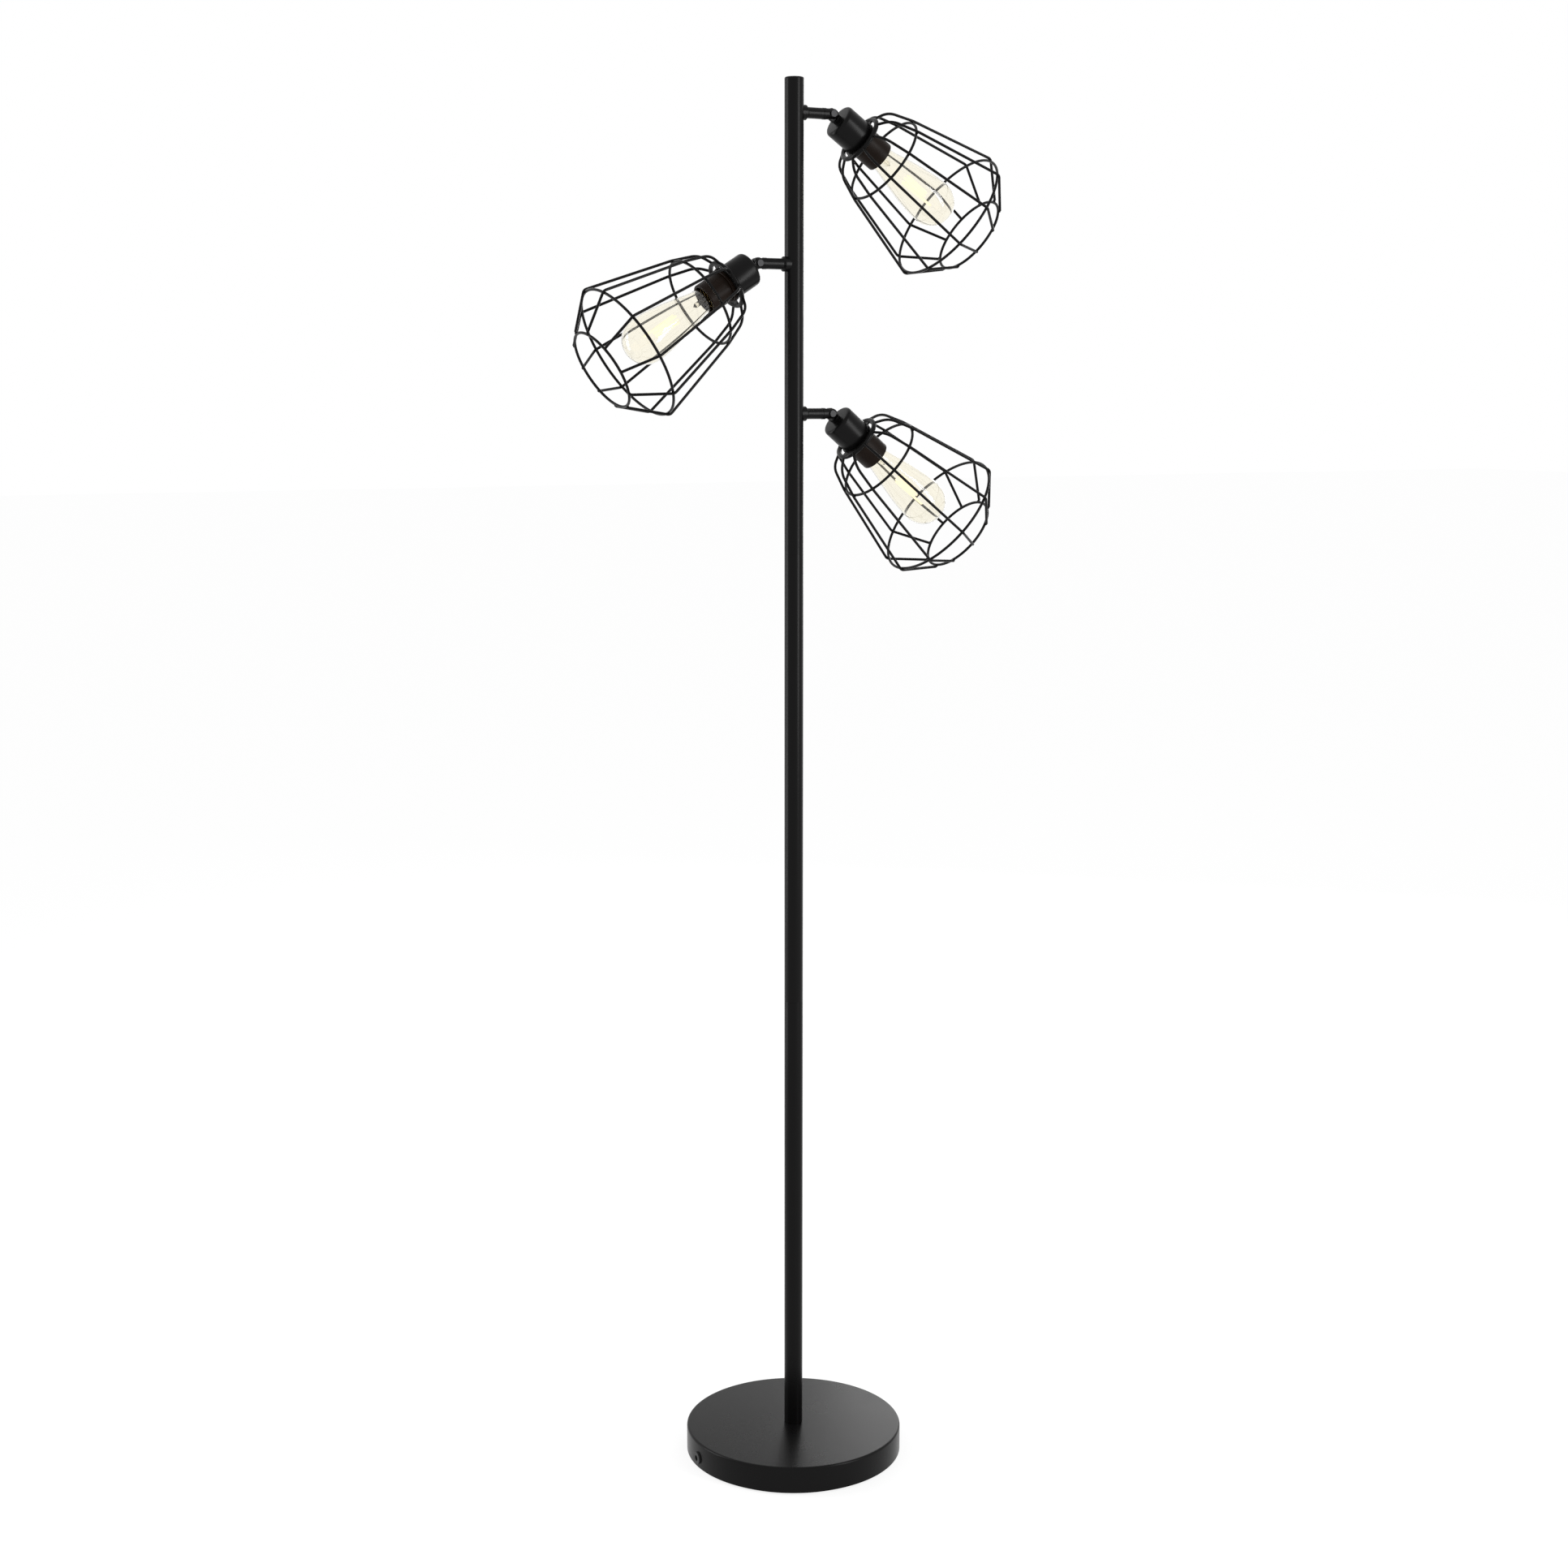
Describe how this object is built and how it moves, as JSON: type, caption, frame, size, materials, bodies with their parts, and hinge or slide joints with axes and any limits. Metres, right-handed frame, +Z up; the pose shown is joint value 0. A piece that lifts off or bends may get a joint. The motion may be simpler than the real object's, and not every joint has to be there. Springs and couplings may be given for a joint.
{
  "type": "tree floor lamp",
  "caption": "Free-standing tree floor lamp: round weighted base, slim pole, short arms carrying swivelling, tilting lamp holders with clear bulbs in flared open wire cages.",
  "frame": {"origin": "on the floor, under the pole's axis, at the middle of the base pad's underside", "axes": "+Z up along the pole; the arms lie along X, two towards +X and one towards -X; the tilt pivots lie along Y"},
  "size_m": [0.529, 0.262, 1.635],
  "materials": {
    "black_paint": "semi-gloss black powder coat",
    "black_screw": "black oxide",
    "weight": "cast concrete",
    "pad": "black felt",
    "grommet": "matte black",
    "zinc_steel": "zinc plated",
    "cable": "matte black sheath",
    "porcelain": "unglazed white",
    "phenolic": "brown-black, moulded",
    "brass": "drawn, plain",
    "bulb_glass": "clear, faint amber",
    "filament": "glowing wire on a glass stem"
  },
  "bodies": {
    "stand": {"base_cover": "black_paint", "base_weight": "weight", "base_pad": "pad", "cord_grommet": "grommet", "pole_stud": "zinc_steel", "stud_nut": "zinc_steel", "pole_lower": "black_paint", "pole_middle": "black_paint", "pole_upper": "black_paint", "pole_couplers": "zinc_steel", "pole_foot": "zinc_steel", "pole_cap": "black_paint", "supply_cable": "cable", "arm_nipples": "zinc_steel", "arm_lock_nuts": "zinc_steel", "upper_arm": "black_paint", "middle_arm": "black_paint", "lower_arm": "black_paint"},
    "upper_swivel": {"upper_swivel_fork": "black_paint", "upper_swivel_screw": "black_screw"},
    "upper_head": {"upper_swivel_tongue": "black_paint", "upper_socket_cup": "black_paint", "upper_socket_core": "porcelain", "upper_socket_skirt": "phenolic", "upper_screw_shell": "brass", "upper_shade_ring": "phenolic", "upper_bulb_cap": "brass", "upper_bulb_glass": "bulb_glass", "upper_bulb_filament": "filament", "upper_cage_neck": "black_paint", "upper_cage_ribs": "black_paint", "upper_cage_rings": "black_paint"},
    "middle_swivel": {"middle_swivel_fork": "black_paint", "middle_swivel_screw": "black_screw"},
    "middle_head": {"middle_swivel_tongue": "black_paint", "middle_socket_cup": "black_paint", "middle_socket_core": "porcelain", "middle_socket_skirt": "phenolic", "middle_screw_shell": "brass", "middle_shade_ring": "phenolic", "middle_bulb_cap": "brass", "middle_bulb_glass": "bulb_glass", "middle_bulb_filament": "filament", "middle_cage_neck": "black_paint", "middle_cage_ribs": "black_paint", "middle_cage_rings": "black_paint"},
    "lower_swivel": {"lower_swivel_fork": "black_paint", "lower_swivel_screw": "black_screw"},
    "lower_head": {"lower_swivel_tongue": "black_paint", "lower_socket_cup": "black_paint", "lower_socket_core": "porcelain", "lower_socket_skirt": "phenolic", "lower_screw_shell": "brass", "lower_shade_ring": "phenolic", "lower_bulb_cap": "brass", "lower_bulb_glass": "bulb_glass", "lower_bulb_filament": "filament", "lower_cage_neck": "black_paint", "lower_cage_ribs": "black_paint", "lower_cage_rings": "black_paint"}
  },
  "joints": [
    {"name": "upper_arm_swivel", "type": "hinge", "parent": "stand", "child": "upper_swivel", "pos_m": [0.036, 0, 1.597], "axis": [1, 0, 0], "range_deg": [-75, 75]},
    {"name": "upper_head_tilt", "type": "hinge", "parent": "upper_swivel", "child": "upper_head", "pos_m": [0.047, 0, 1.597], "axis": [0, 1, 0], "range_deg": [-44.5, 30.5]},
    {"name": "middle_arm_swivel", "type": "hinge", "parent": "stand", "child": "middle_swivel", "pos_m": [-0.036, 0, 1.429], "axis": [1, 0, 0], "range_deg": [-75, 75]},
    {"name": "middle_head_tilt", "type": "hinge", "parent": "middle_swivel", "child": "middle_head", "pos_m": [-0.047, 0, 1.429], "axis": [0, -1, 0], "range_deg": [-41.9, 33.1]},
    {"name": "lower_arm_swivel", "type": "hinge", "parent": "stand", "child": "lower_swivel", "pos_m": [0.036, 0, 1.261], "axis": [1, 0, 0], "range_deg": [-75, 75]},
    {"name": "lower_head_tilt", "type": "hinge", "parent": "lower_swivel", "child": "lower_head", "pos_m": [0.047, 0, 1.261], "axis": [0, 1, 0], "range_deg": [-49.1, 25.9]}
  ]
}
